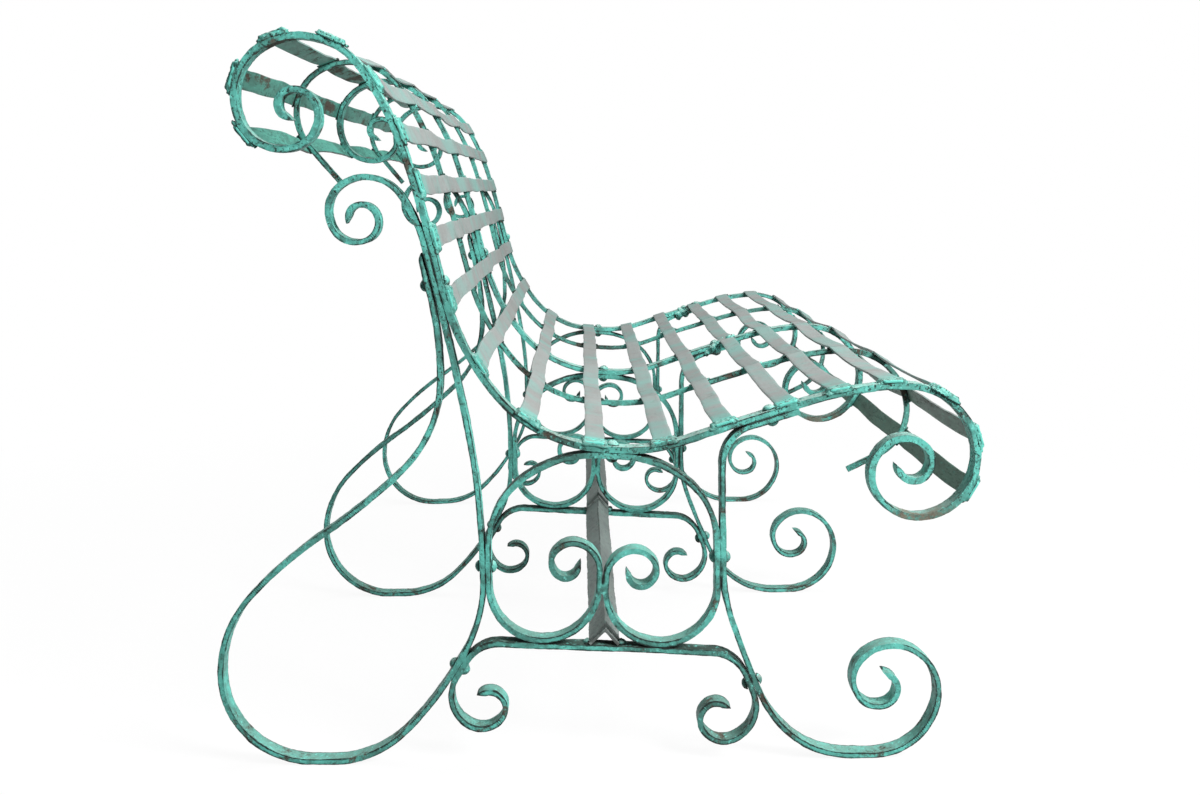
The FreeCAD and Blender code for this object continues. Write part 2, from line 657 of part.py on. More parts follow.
for item in doc.Objects:
    if "Invalid" in item.State or "Error" in item.State:
        raise RuntimeError("%s failed: %s" % (item.Label, item.State))
os.makedirs("parts", exist_ok=True)
for piece in pieces:
    if piece.Shape.isNull() or not piece.Shape.isValid():
        raise RuntimeError("%s has no valid solid" % piece.Label)
    wanted = len(FRAMES) if piece.Label.startswith("rivets_") else 1
    if len(piece.Shape.Solids) != wanted:
        raise RuntimeError("%s has %d solids, not %d" % (piece.Label, len(piece.Shape.Solids), wanted))
for piece in pieces:
    piece.Shape.exportStep("parts/%s.step" % piece.Label)
print("pieces", len(pieces), "solids", sum(len(piece.Shape.Solids) for piece in pieces))
print("depth %.1f mm, height %.1f mm" % (footprint.YLength, footprint.ZMax))
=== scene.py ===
# %% [markdown]
# # Dressing a strap-iron garden bench
# The bench is bent from flat bar: scroll frames stand across it, straps run along it, and rivets and
# welds hold it together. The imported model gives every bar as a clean, sharp solid. A bar from a forge
# is softer: its edges are rounded, its faces are dented, and old turquoise paint has worn, bleached
# and rusted. This lesson keeps each bar where the model puts it and gives it that hand-made surface.
# Lengths are in metres.

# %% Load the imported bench
import math
import random

import bpy
from mathutils import Matrix, Vector, noise


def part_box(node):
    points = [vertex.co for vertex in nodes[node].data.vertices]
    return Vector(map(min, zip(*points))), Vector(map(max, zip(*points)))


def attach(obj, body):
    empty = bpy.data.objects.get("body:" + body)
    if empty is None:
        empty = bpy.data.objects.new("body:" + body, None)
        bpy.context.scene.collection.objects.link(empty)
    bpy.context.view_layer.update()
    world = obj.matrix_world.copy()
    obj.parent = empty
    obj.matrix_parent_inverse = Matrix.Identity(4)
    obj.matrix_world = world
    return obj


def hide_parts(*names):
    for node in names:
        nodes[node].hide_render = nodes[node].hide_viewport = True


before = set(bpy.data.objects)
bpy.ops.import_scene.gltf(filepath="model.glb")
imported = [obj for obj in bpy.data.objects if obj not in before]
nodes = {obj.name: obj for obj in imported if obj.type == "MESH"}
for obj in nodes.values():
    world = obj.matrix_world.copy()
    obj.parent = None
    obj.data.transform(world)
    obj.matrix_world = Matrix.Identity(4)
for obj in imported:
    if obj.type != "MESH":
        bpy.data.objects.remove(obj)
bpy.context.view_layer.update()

FRAMES = ("near", "middle", "far")

# %% [markdown]
# ## The camera
# The photo looks along the bench from its near end, a little from above. Its place and lens were
# worked out from how the three frames shrink with distance, so the camera is set by numbers: a place,
# three small angles, and a focal length that is given in pixels of a picture 1200 pixels wide.

# %% Set up the camera
CAMERA_PLACE = Vector((-2.4897, 0.0169, 0.7183))
PITCH_DOWN = math.radians(8.352)
YAW_TO_FRONT = math.radians(0.711)
ROLL = math.radians(-0.409)
FOCAL_PIXELS = 1435.0
PICTURE_WIDTH = 1200.0
SENSOR_WIDTH = 36.0

forward = Vector((
    math.cos(YAW_TO_FRONT) * math.cos(PITCH_DOWN),
    -math.sin(YAW_TO_FRONT) * math.cos(PITCH_DOWN),
    -math.sin(PITCH_DOWN),
))
level_right = Vector((-math.sin(YAW_TO_FRONT), -math.cos(YAW_TO_FRONT), 0.0))
level_up = level_right.cross(forward)
camera_right = level_right * math.cos(ROLL) + level_up * math.sin(ROLL)
camera_up = level_up * math.cos(ROLL) - level_right * math.sin(ROLL)
bpy.ops.object.camera_add()
camera = bpy.context.object
camera.name = "photo_camera"
turned = Matrix((camera_right, camera_up, -forward)).transposed().to_4x4()
camera.matrix_world = Matrix.Translation(CAMERA_PLACE) @ turned
camera.data.sensor_width = SENSOR_WIDTH
camera.data.lens = SENSOR_WIDTH * FOCAL_PIXELS / PICTURE_WIDTH
camera.data.dof.use_dof = False
bpy.context.scene.camera = camera
bpy.context.scene.view_settings.view_transform = "Standard"
print("lens %.2f mm" % camera.data.lens)

# %% [markdown]
# ## Forging the bars
# A forged bar could be modelled edge by edge with bevels, but bevels leave perfectly even faces. Here
# each bar is copied from its solid and treated like metal: a remesh that keeps the edges turns it into
# even clay, a light smoothing pass takes the bite off those edges, and displacement by soft noise
# leaves hammer marks and pits. A last, slow noise moves neighbouring bars together by a millimetre or
# so, as bending by eye does.

# %% Work on one object at a time
def only(obj):
    """Select one object and make it the active one."""
    if bpy.context.mode != "OBJECT":
        bpy.ops.object.mode_set(mode="OBJECT")
    bpy.ops.object.select_all(action="DESELECT")
    obj.select_set(True)
    bpy.context.view_layer.objects.active = obj


def open_mesh(obj):
    """Start editing one object's mesh, with all of it selected."""
    only(obj)
    bpy.ops.object.mode_set(mode="EDIT")
    bpy.ops.mesh.select_all(action="SELECT")


def close_mesh():
    """Stop editing a mesh."""
    bpy.ops.object.mode_set(mode="OBJECT")


def modify(obj, kind, **settings):
    """Add one modifier with its settings and apply it."""
    only(obj)
    modifier = obj.modifiers.new(kind.lower(), kind)
    for name, value in settings.items():
        setattr(modifier, name, value)
    bpy.ops.object.modifier_apply(modifier=modifier.name)


def join(pieces):
    """One object from many; the first one gives its name."""
    only(pieces[0])
    for other in pieces[1:]:
        other.select_set(True)
    bpy.ops.object.join()
    return bpy.context.object


# %% Noise that dents and bends
# The size is that of one mark. At EVEN a noise adds as much as it takes; above it, it takes more than
# it adds, as corrosion does.
HAMMER_SIZE = 0.028
HAMMER_DEPTH = 0.0016
CORROSION_SIZE = 0.007
CORROSION_DEPTH = 0.0009
BEND_SIZE = 0.22
WANDER = 0.004
EVEN = 0.5
CORRODED = 0.6


def cloud(name, size, cloud_type="GRAYSCALE"):
    """Soft noise whose bumps are about as large as size."""
    texture = bpy.data.textures.new(name, "CLOUDS")
    texture.noise_scale = size
    texture.noise_depth = 1
    texture.cloud_type = cloud_type
    return texture


hammer_marks = cloud("hammer_marks", HAMMER_SIZE)
corrosion = cloud("corrosion", CORROSION_SIZE)
bent_by_eye = cloud("bent_by_eye", BEND_SIZE, "COLOR")


def wander(obj):
    """Move the whole neighbourhood of each point a little, the same for every piece."""
    modify(obj, "DISPLACE", texture=bent_by_eye, texture_coords="GLOBAL",
           direction="RGB_TO_XYZ", strength=WANDER, mid_level=EVEN)


# %% Forge a copy of a solid
BAR_GRAIN = 0.0019
RIVET_GRAIN = 0.0011
MERGED_WITHIN = 0.00001
# The remesh takes a solid that fills at most this share of its grid.
LARGEST_SHARE = 0.99
SHARP_EDGE = math.radians(42.0)


def solid_copy(node):
    """Copy of a CAD node with its loose triangles merged into a closed skin."""
    solid = bpy.data.objects.new("forged_" + node, nodes[node].data.copy())
    bpy.context.scene.collection.objects.link(solid)
    open_mesh(solid)
    bpy.ops.mesh.remove_doubles(threshold=MERGED_WITHIN)
    close_mesh()
    return solid


def edged_clay(solid):
    """Even cells of one size, whatever the size of the solid, with its edges kept."""
    points = [vertex.co for vertex in solid.data.vertices]
    side = max(max(p[axis] for p in points) - min(p[axis] for p in points) for axis in range(3))
    # The grid is halved so often, and filled so far, that one cell is as large as the grain.
    halvings = math.ceil(math.log2(side / (LARGEST_SHARE * BAR_GRAIN)))
    filled = side / (BAR_GRAIN * 2 ** halvings)
    modify(solid, "REMESH", mode="SHARP", octree_depth=halvings, scale=filled, sharpness=1.0,
           use_remove_disconnected=False)


def round_clay(solid):
    """Fine voxels, for a small and round solid."""
    modify(solid, "REMESH", mode="VOXEL", voxel_size=RIVET_GRAIN)


def forge(node, clay, rounding, dents=1.0, solids=None):
    """Forged twin of a CAD node: even clay, slightly rounded edges, dents and pits."""
    solids = solids or [solid_copy(node)]
    for solid in solids:
        clay(solid)
        modify(solid, "SMOOTH", factor=rounding, iterations=1)
    bar = join(solids)
    for texture, depth in ((hammer_marks, HAMMER_DEPTH), (corrosion, CORROSION_DEPTH)):
        modify(bar, "DISPLACE", texture=texture, texture_coords="GLOBAL",
               strength=depth * dents, mid_level=CORRODED)
    wander(bar)
    only(bar)
    bpy.ops.object.shade_smooth_by_angle(angle=SHARP_EDGE)
    bar.data.materials.clear()
    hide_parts(node)
    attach(bar, "root")
    return bar


# %% Forge the rails, front legs and stretchers
WHOLE_BARS = ("profile_rail", "front_leg", "lower_stretcher")
BAR_ROUNDING = 0.25

frame_bars = []
for bar_name in WHOLE_BARS:
    for place in FRAMES:
        frame_bars.append(forge("%s_%s" % (bar_name, place), edged_clay, BAR_ROUNDING))
print("bars forged whole:", len(frame_bars))

# %% [markdown]
# ## Bars that lie along themselves
# Both ends of a rear leg lie side by side up the back, a millimetre apart, and so do the two lobes of a
# ring. One remesh of such a bar would close that gap here and there. A much finer grain would keep it
# open, but at the cost of far too many faces. So each leg is cut level with the floor into its loop and
# its two strands, and each ring is cut upright at its crown, where a rivet hides the seam. The parts are
# forged one by one and joined. The plain end of a leg is smoothed round, as a hammer leaves it.

# %% Cut the rear legs and rings, and forge the parts
UP = Vector((0.0, 0.0, 1.0))
TO_BACK = Vector((0.0, 1.0, 0.0))
LEG_CUT = 0.30
LEG_OVERLAP = 0.002
RING_OVERLAP = 0.0004
# The hammer works over this length of the plain end, and with all its force over the upper half.
END_LENGTH = 0.034
END_PASSES = 45
# A part of a rear leg that reaches higher than this ends in the scroll.
SCROLL_FROM = 0.68
SOFTENING = 0.5


def hammered_clay(solid):
    """Clay for a part of a rear leg; the plain end, which stops below the scroll, is hammered round."""
    edged_clay(solid)
    top = max(vertex.co.z for vertex in solid.data.vertices)
    if not LEG_CUT + END_LENGTH < top < SCROLL_FROM:
        return
    end = solid.vertex_groups.new(name="plain_end")
    for vertex in solid.data.vertices:
        share = 1.0 - (top - vertex.co.z) / END_LENGTH
        if share > 0.0:
            end.add([vertex.index], min(1.0, 2.0 * share), "REPLACE")
    modify(solid, "SMOOTH", factor=SOFTENING, iterations=END_PASSES, vertex_group=end.name)


def part_below(node, spot, normal):
    """Copy of a solid without what lies beyond a plane."""
    solid = solid_copy(node)
    open_mesh(solid)
    bpy.ops.mesh.bisect(plane_co=spot, plane_no=normal, use_fill=True, clear_outer=True)
    close_mesh()
    return solid


crown_rivets = nodes["rivets_seat_ring"].data.vertices
crown = sum((vertex.co for vertex in crown_rivets), Vector()) / len(crown_rivets)
for place in FRAMES:
    leg = "rear_leg_" + place
    loop = part_below(leg, UP * (LEG_CUT + LEG_OVERLAP), UP)
    strands = part_below(leg, UP * (LEG_CUT - LEG_OVERLAP), -UP)
    only(strands)
    bpy.ops.mesh.separate(type="LOOSE")
    parts = [loop] + list(bpy.context.selected_objects)
    frame_bars.append(forge(leg, hammered_clay, BAR_ROUNDING, solids=parts))
    ring = "ring_scroll_" + place
    halves = [part_below(ring, crown + way * RING_OVERLAP, way) for way in (TO_BACK, -TO_BACK)]
    frame_bars.append(forge(ring, edged_clay, BAR_ROUNDING, solids=halves))
    print("parts of a rear leg and of a ring:", len(parts), len(halves))
print("forged bars:", len(frame_bars), "faces:", sum(len(bar.data.polygons) for bar in frame_bars))

# %% [markdown]
# ## Rods, angle irons and rivets
# The two thin rods, the angle irons and the rivets are forged in the same way. A rivet is round and
# small, so its clay is made of fine voxels, and the hammer leaves its dome uneven.

# %% Forge rods, angle irons and rivets
ENDS = ("near", "far")
ROD_DENTS = 0.8
RIVET_ROUNDING = 0.5
RIVET_DENTS = 1.3
RIVET_GROUPS = [name for name in nodes if name.startswith("rivets_")]

rods = [forge("profile_rod_" + place, edged_clay, BAR_ROUNDING, ROD_DENTS) for place in ENDS]
irons = [forge("angle_iron_" + place, edged_clay, BAR_ROUNDING) for place in ENDS]
rivets = [forge(name, round_clay, RIVET_ROUNDING, RIVET_DENTS) for name in RIVET_GROUPS]
print("rods, irons and rivets:", len(rods), len(irons), len(rivets))

# %% [markdown]
# ## The straps
# The straps are thin, and years of use have bent them: each one dips between the bars that carry it,
# twists a little and has a kink at each bar. A straight solid can't show that, so every strap is
# modelled anew: a flat grid with clipped corners, shaped bay by bay, then given its thickness. The
# grid is drawn flat and square, and is laid on the bench only when its shape is done.

# %% Where each strap lies
ALONG = Vector((1.0, 0.0, 0.0))
STRAP_NODES = sorted(name for name in nodes if name.startswith("strap_"))
END_SLICE = 0.001
DIGITS = 6
rail_points = [v.co.copy() for v in nodes["profile_rail_near"].data.vertices]


def strap_seat(node):
    """Middle of a strap's underside, its outward and its across direction, its thickness and width."""
    corner_shade = [v.co.copy() for v in nodes[node].data.vertices]
    low = min(corner.x for corner in corner_shade)
    outline = {(round(c.y, DIGITS), round(c.z, DIGITS)) for c in corner_shade if c.x < low + END_SLICE}
    outline = [Vector((0.0, y, z)) for y, z in outline]
    middle = sum(outline, Vector()) / len(outline)
    # From one corner of the strap's end, the nearest corner gives the thickness and the next the width.
    edges = sorted((other - outline[0] for other in outline[1:]), key=lambda edge: edge.length)
    thick, outward = edges[0].length, edges[0].normalized()
    # Outward is away from the nearest point of the near rail.
    nearest = min(rail_points, key=lambda p: (p.y - middle.y) ** 2 + (p.z - middle.z) ** 2)
    if outward.dot(Vector((0.0, middle.y - nearest.y, middle.z - nearest.z))) < 0.0:
        outward.negate()
    across = outward.cross(ALONG)
    return middle - outward * thick / 2.0, outward, across, thick, edges[1].length


# %% Draw a flat strap
STRAP_STEPS = 190
STRAP_RANKS = 6
CLIPPED_CORNER = 0.003
AT_CORNER = 0.0001


def flat_strap(name, length, wide):
    """A flat grid as long and wide as a strap, with clipped corners."""
    bpy.ops.object.select_all(action="DESELECT")
    bpy.ops.mesh.primitive_grid_add(x_subdivisions=STRAP_STEPS, y_subdivisions=STRAP_RANKS, size=1.0)
    strap = bpy.context.object
    strap.name = name
    strap.scale = (length, wide, 1.0)
    bpy.ops.object.transform_apply(location=False, rotation=False, scale=True)
    bpy.ops.object.mode_set(mode="EDIT")
    bpy.ops.mesh.select_mode(type="VERT")
    bpy.ops.mesh.select_all(action="DESELECT")
    bpy.ops.object.mode_set(mode="OBJECT")
    for vertex in strap.data.vertices:
        at_end = abs(abs(vertex.co.x) - length / 2.0) < AT_CORNER
        vertex.select = at_end and abs(abs(vertex.co.y) - wide / 2.0) < AT_CORNER
    bpy.ops.object.mode_set(mode="EDIT")
    bpy.ops.mesh.bevel(offset=CLIPPED_CORNER, segments=2, affect="VERTICES")
    bpy.ops.object.mode_set(mode="OBJECT")
    return strap


# %% Bend a strap
# The bars that carry a strap: their places along the bench and half widths.
BAR_HALF = 0.0125
ROD_HALF = 0.004
CARRIERS = [(-0.75, BAR_HALF), (-0.375, ROD_HALF), (0.0, BAR_HALF), (0.375, ROD_HALF), (0.75, BAR_HALF)]
FRAME_PLACES = [place for place, half in CARRIERS if half == BAR_HALF]
# How far a strap dips, leans and dips off centre in a bay.
DIPS = (0.002, 0.0075)
LEAN = 0.07
SKEW = 0.3
# Uneven edges and slow sway: waves per metre along and across, steps from strap to strap, and sizes.
EDGE_WAVES = 22.0
EDGE_WAVES_ACROSS = 40.0
EDGE_STEP = 3.1
EDGE_SHARE = 0.05
FACE_RIPPLE = 0.0004
SWAY_WAVES = 9.0
SWAY_STEP = 5.7
SWAY = 0.0018
draw = random.Random(11)


def bay_shape():
    """How one strap dips and leans in each bay between two carriers, and how far off centre it dips."""
    bays = []
    for (left, left_half), (right, right_half) in zip(CARRIERS, CARRIERS[1:]):
        dip = draw.uniform(*DIPS)
        lean = draw.uniform(-LEAN, LEAN)
        bays.append((left + left_half, right - right_half, dip, lean, draw.uniform(-SKEW, SKEW)))
    return bays


def bend_strap(strap, bays, number):
    """Move the points of the flat strap: dip, lean, sway and uneven edges."""
    for vertex in strap.data.vertices:
        x, v = vertex.co.x, vertex.co.y
        drop, turn = 0.0, 0.0
        for begin, end, dip, lean, skew in bays:
            if begin < x < end:
                share = (x - begin) / (end - begin)
                swell = math.sin(math.pi * share)
                drop = dip * swell * (1.0 + skew * math.cos(math.pi * share))
                turn = lean * swell
        edge = noise.noise(Vector((x * EDGE_WAVES, number * EDGE_STEP, v * EDGE_WAVES_ACROSS)))
        ripple = noise.noise(Vector((x * SWAY_WAVES, number * SWAY_STEP, 0.0)))
        vertex.co.z = turn * v - drop + FACE_RIPPLE * edge
        vertex.co.y = v * (1.0 + EDGE_SHARE * edge) + SWAY * ripple


# %% Lay the straps on the bench
STRAP_EDGE = 0.0007
STRAP_SHARP_EDGE = math.radians(40.0)


def lay_strap(number, node):
    """Model one strap flat, bend it, and lay it on its seat; its underside has a material of its own."""
    seat, outward, across, thick, wide = strap_seat(node)
    low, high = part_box(node)
    strap = flat_strap("bent_" + node, high.x - low.x, wide)
    bend_strap(strap, bay_shape(), number)
    strap.data.materials.append(None)
    strap.data.materials.append(None)
    modify(strap, "SOLIDIFY", thickness=thick, offset=1.0, use_even_offset=True, material_offset=1)
    modify(strap, "BEVEL", width=STRAP_EDGE, segments=2, limit_method="ANGLE")
    laid = Matrix((ALONG, across, outward)).transposed().to_4x4()
    strap.data.transform(Matrix.Translation(seat) @ laid)
    wander(strap)
    only(strap)
    bpy.ops.object.shade_smooth_by_angle(angle=STRAP_SHARP_EDGE)
    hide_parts(node)
    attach(strap, "root")
    return strap


straps = [lay_strap(number, node) for number, node in enumerate(STRAP_NODES)]
print("straps:", len(straps), "faces in one:", len(straps[0].data.polygons))

# %% [markdown]
# ## Weld lumps
# At the near end each strap is buried in weld that runs into the rail: a thick ragged pad on the back, a
# thin and smoother one on the seat and the front curl. Smaller beads sit beside the straps where they
# cross the other bars. A weld could be drawn with a texture, but it shows in the outline, so it is real:
# a pad is a block with its points pushed about and softened, a bead is a dented ball, and copies of a
# few patterns go to all the crossings. Where welds run together, a remesh melts them into one mass.

# %% Model pads and beads of weld
PATTERNS = 5
PAD_SIZE = (0.0272, 0.0370, 0.0068)
PAD_TOP_SHARE = 0.80
PAD_CUTS = 4
PAD_GRAIN = 0.0010
PAD_DENTS = 0.0013
BEAD_SIZE = (0.0050, 0.0042, 0.0032)
BEAD_SEGMENTS = 8
BEAD_RINGS = 6
BEAD_DENTS = 0.0042
# Each bead pattern is dented at another place in the noise.
NOISE_STEP = (0.05, 0.02)
WELD_NOISE_SIZE = 0.0045
weld_noise = cloud("weld_noise", WELD_NOISE_SIZE)


def weld_pad(seed):
    """A ragged pad of weld with sloping sides, from a four-sided block with its points pushed about."""
    # The corners of a square with sides of 1 are this far from its middle.
    corner = math.sqrt(0.5)
    bpy.ops.object.select_all(action="DESELECT")
    bpy.ops.mesh.primitive_cone_add(vertices=4, radius1=corner, radius2=corner * PAD_TOP_SHARE,
                                    depth=1.0, rotation=(0.0, 0.0, math.radians(45.0)))
    pad = bpy.context.object
    bpy.ops.object.transform_apply(location=False, rotation=True, scale=False)
    open_mesh(pad)
    bpy.ops.transform.resize(value=PAD_SIZE)
    bpy.ops.mesh.subdivide(number_cuts=PAD_CUTS)
    bpy.ops.transform.vertex_random(offset=PAD_DENTS, seed=seed)
    close_mesh()
    modify(pad, "REMESH", mode="VOXEL", voxel_size=PAD_GRAIN)
    modify(pad, "SMOOTH", factor=SOFTENING, iterations=2)
    return pad


def weld_bead(seed):
    """A small bead of weld: a ball pressed to size and dented."""
    shift = Vector((NOISE_STEP[0] * seed, NOISE_STEP[1] * seed, 0.0))
    bpy.ops.object.select_all(action="DESELECT")
    bpy.ops.mesh.primitive_uv_sphere_add(segments=BEAD_SEGMENTS, ring_count=BEAD_RINGS, radius=1.0)
    bead = bpy.context.object
    open_mesh(bead)
    bpy.ops.transform.resize(value=BEAD_SIZE)
    bpy.ops.transform.translate(value=shift)
    close_mesh()
    modify(bead, "DISPLACE", texture=weld_noise, texture_coords="LOCAL",
           strength=BEAD_DENTS, mid_level=EVEN)
    bead.data.transform(Matrix.Translation(-shift))
    return bead


pad_patterns = [weld_pad(seed) for seed in range(PATTERNS)]
bead_patterns = [weld_bead(seed) for seed in range(PATTERNS)]
print("faces of a pad:", len(pad_patterns[0].data.polygons))
print("faces of a bead:", len(bead_patterns[0].data.polygons))

# %% Copy and join welds
WELD_DENTS = 1.6
SPATTER = 0.0019
# A copy's width and length, and its height, vary between these shares.
WIDTHS = (0.9, 1.1)
HEIGHTS = (0.85, 1.2)


def place_weld(pattern, spot, outward, across, turn, scale):
    """A copy of one pattern on a spot, turned about the outward direction."""
    mesh = pattern.data.copy()
    axes = Matrix((ALONG, across, outward)).transposed().to_4x4()
    sizes = [scale * draw.uniform(*shares) for shares in (WIDTHS, WIDTHS, HEIGHTS)]
    scaled = Matrix.Diagonal((*sizes, 1.0))
    mesh.transform(Matrix.Translation(spot) @ axes @ Matrix.Rotation(turn, 4, "Z") @ scaled)
    copy = bpy.data.objects.new("weld_copy", mesh)
    bpy.context.scene.collection.objects.link(copy)
    return copy


def place_bead(spot, outward, across, scale):
    """A copy of any bead pattern, turned at random."""
    turn = draw.uniform(0.0, math.tau)
    return place_weld(draw.choice(bead_patterns), spot, outward, across, turn, scale)


def join_welds(name, welds, melted=False):
    """One piece from many welds, melted together or not, riding on the bench."""
    piece = join(welds)
    piece.name = name
    if melted:
        modify(piece, "REMESH", mode="VOXEL", voxel_size=PAD_GRAIN)
        modify(piece, "DISPLACE", texture=weld_noise, texture_coords="GLOBAL",
               strength=SPATTER, mid_level=EVEN)
        modify(piece, "SMOOTH", factor=SOFTENING, iterations=1)
    modify(piece, "DISPLACE", texture=corrosion, texture_coords="GLOBAL",
           strength=CORROSION_DEPTH * WELD_DENTS, mid_level=EVEN)
    wander(piece)
    only(piece)
    bpy.ops.object.shade_smooth()
    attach(piece, "root")
    return piece


# %% Weld the straps to rails and rods
# Pads on the back stand proud and carry more lumps; on seat and front curl they are sunk and smoother.
BACK_FROM = 0.50
PAD_SINK = 0.0014
PAD_SHIFT = 0.0005
LUMPS_ON_BACK = 4
LUMPS_ON_SEAT = 2
SEAT_LUMP_SHARE = 0.7
LUMP_REACH = 0.011
LUMP_SIZES = (0.45, 0.7)
# Beads beside a pad, and beads beside a strap where it crosses the other bars.
PAD_BEADS_AT = (-0.009, 0.004)
PAD_BEAD_GAPS = (0.003, 0.007)
PAD_BEAD_SIZES = (0.45, 0.8)
CROSSING_SHIFT = 0.3
CROSSING_GAP = 0.001
CROSSING_SIZES = (0.5, 0.8)
near_place = CARRIERS[0][0]
pads, rod_beads, rail_beads = [], [], []
for node in STRAP_NODES:
    seat, outward, across, thick, wide = strap_seat(node)
    on_back = seat.z > BACK_FROM
    lump_share = 1.0 if on_back else SEAT_LUMP_SHARE
    sink = outward * (0.0 if on_back else PAD_SINK)
    start = Vector((near_place + draw.uniform(-PAD_SHIFT, PAD_SHIFT), 0.0, 0.0))
    spot = start + seat + outward * thick / 2.0 - sink
    half_turn = draw.choice((0.0, math.pi))
    pads.append(place_weld(draw.choice(pad_patterns), spot, outward, across, half_turn, 1.0))
    for lump in range(LUMPS_ON_BACK if on_back else LUMPS_ON_SEAT):
        aside = across * wide * draw.uniform(-0.5, 0.5)
        start = Vector((near_place + draw.uniform(-LUMP_REACH, LUMP_REACH), 0.0, 0.0))
        spot = start + seat + outward * thick + aside - sink
        pads.append(place_bead(spot, outward, across, lump_share * draw.uniform(*LUMP_SIZES)))
    for side in (-1, 1):
        for shift in PAD_BEADS_AT:
            beside = across * side * (wide / 2.0 + draw.uniform(*PAD_BEAD_GAPS))
            spot = Vector((near_place + shift, 0.0, 0.0)) + seat + beside - sink
            pads.append(place_bead(spot, outward, across, draw.uniform(*PAD_BEAD_SIZES)))
        for place, half in CARRIERS[1:]:
            beads = rod_beads if half == ROD_HALF else rail_beads
            along = place + draw.uniform(-CROSSING_SHIFT, CROSSING_SHIFT) * half
            spot = Vector((along, 0.0, 0.0)) + seat + across * side * (wide / 2.0 + CROSSING_GAP)
            beads.append(place_bead(spot, outward, across, draw.uniform(*CROSSING_SIZES)))
near_welds = join_welds("welds_near_rail", pads, melted=True)
rod_welds = join_welds("welds_on_rods", rod_beads)
rail_welds = join_welds("welds_on_rails", rail_beads)
print("welds:", len(pads), len(rod_beads), len(rail_beads))

# %% [markdown]
# ## Welds under the seat
# The angle irons are welded to the stretchers, and the front legs of the middle and far frames are
# welded along their laps. Each of these welds could be modelled by itself, but they are the same lumps
# as above. So beads are copied along each joint, and the thick ones on the laps are melted together.

# %% Weld the angle irons to the stretchers
IRON_BEADS = 3
IRON_BEAD_GAP = 0.002
IRON_BEAD_SHIFT = 0.009
IRON_BEAD_SIZES = (0.8, 1.2)
iron_low, iron_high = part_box("angle_iron_near")
iron_beads = []
for along in FRAME_PLACES:
    for aside in (iron_low.y - IRON_BEAD_GAP, iron_high.y + IRON_BEAD_GAP):
        for bead in range(IRON_BEADS):
            shift = draw.uniform(-IRON_BEAD_SHIFT, IRON_BEAD_SHIFT)
            spot = Vector((along + shift, aside, iron_low.z + IRON_BEAD_GAP))
            iron_beads.append(place_bead(spot, UP, TO_BACK, draw.uniform(*IRON_BEAD_SIZES)))
iron_welds = join_welds("welds_on_irons", iron_beads)
print("welds on the angle irons:", len(iron_beads))

# %% Weld the front legs under the middle and far rails
# The lap of the front leg is covered with clumps of weld on the side that the photo shows, and a few
# smaller ones lie on the rail above it.
LAP_HALF = 0.034
ONE_FRAME = 0.05
SIDE_CLUMPS = 16
SIDE_CLUMPS_RISE = (-0.004, 0.005)
SIDE_CLUMPS_OUT = (-0.001, 0.003)
SIDE_CLUMP_SIZES = (1.2, 2.0)
TOP_CLUMPS = 6
TOP_CLUMPS_RISE = 0.007
TOP_CLUMP_SIZES = (0.6, 0.85)


def lap_line(along, leg):
    """Middle of a lap at its rivet, its direction and the way from the leg to the rail."""
    rivet = [v.co for v in nodes["rivets_seat_front"].data.vertices if abs(v.co.x - along) < ONE_FRAME]
    middle = sum(rivet, Vector()) / len(rivet)
    points = [v.co - middle for v in nodes[leg].data.vertices]
    points = [p for p in points if math.hypot(p.y, p.z) < LAP_HALF]
    # The lap runs the way in which the points of the leg spread furthest.
    mixed = sum(p.y * p.z for p in points)
    spread = sum(p.y * p.y - p.z * p.z for p in points)
    turn = 0.5 * math.atan2(2.0 * mixed, spread)
    run = Vector((0.0, math.cos(turn), math.sin(turn)))
    rise = Vector((0.0, -math.sin(turn), math.cos(turn)))
    return middle, run, rise


lap_beads = []
for place, along in zip(FRAMES[1:], FRAME_PLACES[1:]):
    middle, run, rise = lap_line(along, "front_leg_" + place)
    for clump in range(SIDE_CLUMPS):
        spot = middle + run * draw.uniform(-LAP_HALF, LAP_HALF) + rise * draw.uniform(*SIDE_CLUMPS_RISE)
        spot.x = along - BAR_HALF + draw.uniform(*SIDE_CLUMPS_OUT)
        lap_beads.append(place_bead(spot, rise, run, draw.uniform(*SIDE_CLUMP_SIZES)))
    for clump in range(TOP_CLUMPS):
        spot = middle + run * draw.uniform(-LAP_HALF, LAP_HALF) + rise * TOP_CLUMPS_RISE
        spot.x = along + draw.uniform(-BAR_HALF, BAR_HALF)
        lap_beads.append(place_bead(spot, rise, run, draw.uniform(*TOP_CLUMP_SIZES)))
lap_welds = join_welds("welds_on_laps", lap_beads, melted=True)
print("welds on the laps:", len(lap_beads))
for pattern in pad_patterns + bead_patterns:
    bpy.data.objects.remove(pattern)

# %% [markdown]
# ## Old paint
# The paint is bright turquoise on the sides, bleached where it faces the sky, brown with rust where
# water hangs below, pitted with dark specks, rubbed along the edges and given painted shade in its
# inner corners. All of that is one recipe with different amounts, so it is a node group with named
# inputs. It reads the bench's own coordinates, the direction a face looks in and how sharp the surface
# is, and puts out a colour, a roughness and a height for the bump.

# %% Small helpers for node trees
def put(tree, value, socket):
    """Give an input a value or another node's socket."""
    if isinstance(value, bpy.types.NodeSocket):
        tree.links.new(value, socket)
    else:
        socket.default_value = value


def add(tree, kind, inputs=None, **settings):
    """A node with its settings and inputs."""
    made = tree.nodes.new(kind)
    for name, value in settings.items():
        setattr(made, name, value)
    for name, value in (inputs or {}).items():
        put(tree, value, made.inputs[name])
    return made


def noise_value(tree, vector, scale, detail, rough):
    """Noise with this many bumps per metre."""
    made = add(tree, "ShaderNodeTexNoise", {"Vector": vector, "Scale": scale, "Detail": detail,
                                            "Roughness": rough})
    return made.outputs["Fac"]


